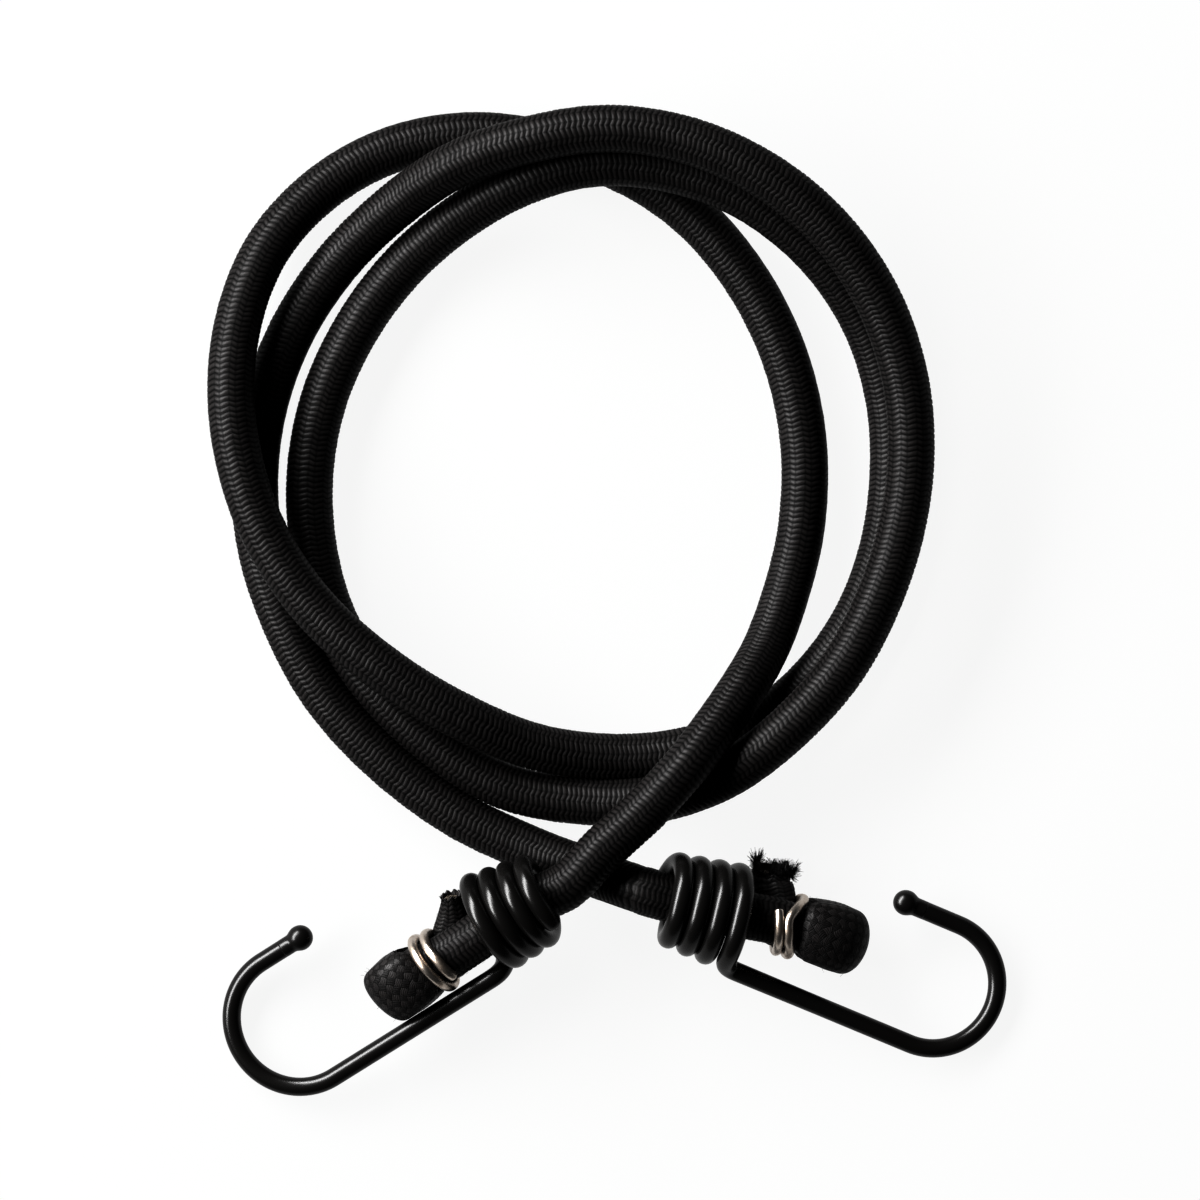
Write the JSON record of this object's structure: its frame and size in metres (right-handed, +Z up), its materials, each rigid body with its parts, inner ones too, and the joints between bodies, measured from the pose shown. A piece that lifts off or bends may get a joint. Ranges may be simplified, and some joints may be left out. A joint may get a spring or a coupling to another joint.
{
  "type": "bungee cord",
  "caption": "Black braided elastic cord laid in a loose coil, with a coated spiral wire hook at each end, each held by the cord's clipped fold.",
  "frame": {"origin": "on the surface that the coil lies on, under the middle of the whole piece", "axes": "+Z up from that surface, +Y from the hooks to the far side of the coil, +X towards the right-hand hook"},
  "size_m": [0.1356, 0.1684, 0.0234],
  "materials": {
    "braid": "tight black braid of polyester yarn, dull sheen on the ridges",
    "rubber_core": "plain latex strands, seen only at the cut ends",
    "coated_wire": "smooth black dip coating, semi-gloss",
    "ball_tip": "black dipped ball, semi-gloss",
    "clip_wire": "plated soft steel wire, warm silver"
  },
  "bodies": {
    "cord": {"sheath_loops": "braid", "core_loops": "rubber_core", "left_sheath_run": "braid", "left_core_run": "rubber_core", "right_sheath_run": "braid", "right_core_run": "rubber_core"},
    "left_end": {"left_sheath_fold": "braid", "left_core_fold": "rubber_core", "left_clip": "clip_wire"},
    "left_hook": {"left_hook": "coated_wire", "left_hook_tip": "ball_tip"},
    "right_end": {"right_sheath_fold": "braid", "right_core_fold": "rubber_core", "right_clip": "clip_wire"},
    "right_hook": {"right_hook": "coated_wire", "right_hook_tip": "ball_tip"}
  },
  "joints": [
    {"name": "left_end_stretch", "type": "slide", "parent": "cord", "child": "left_end", "axis": [-0.8965, -0.4431, 0], "range_m": [0, 0.02], "stiffness_N_per_m": 600, "deforming": ["left_sheath_run", "left_core_run"]},
    {"name": "left_hook_swivel", "type": "hinge", "parent": "left_end", "child": "left_hook", "pos_m": [-0.01595, -0.05236, 0.0134], "axis": [-0.8749, -0.4324, -0.2179], "range_deg": [-90, 110]},
    {"name": "right_end_stretch", "type": "slide", "parent": "cord", "child": "right_end", "axis": [0.9568, -0.2907, 0], "range_m": [0, 0.02], "stiffness_N_per_m": 600, "deforming": ["right_sheath_run", "right_core_run"]},
    {"name": "right_hook_swivel", "type": "hinge", "parent": "right_end", "child": "right_hook", "pos_m": [0.01605, -0.05196, 0.0104], "axis": [-0.9438, 0.2868, 0.1643], "range_deg": [-100, 150]}
  ]
}
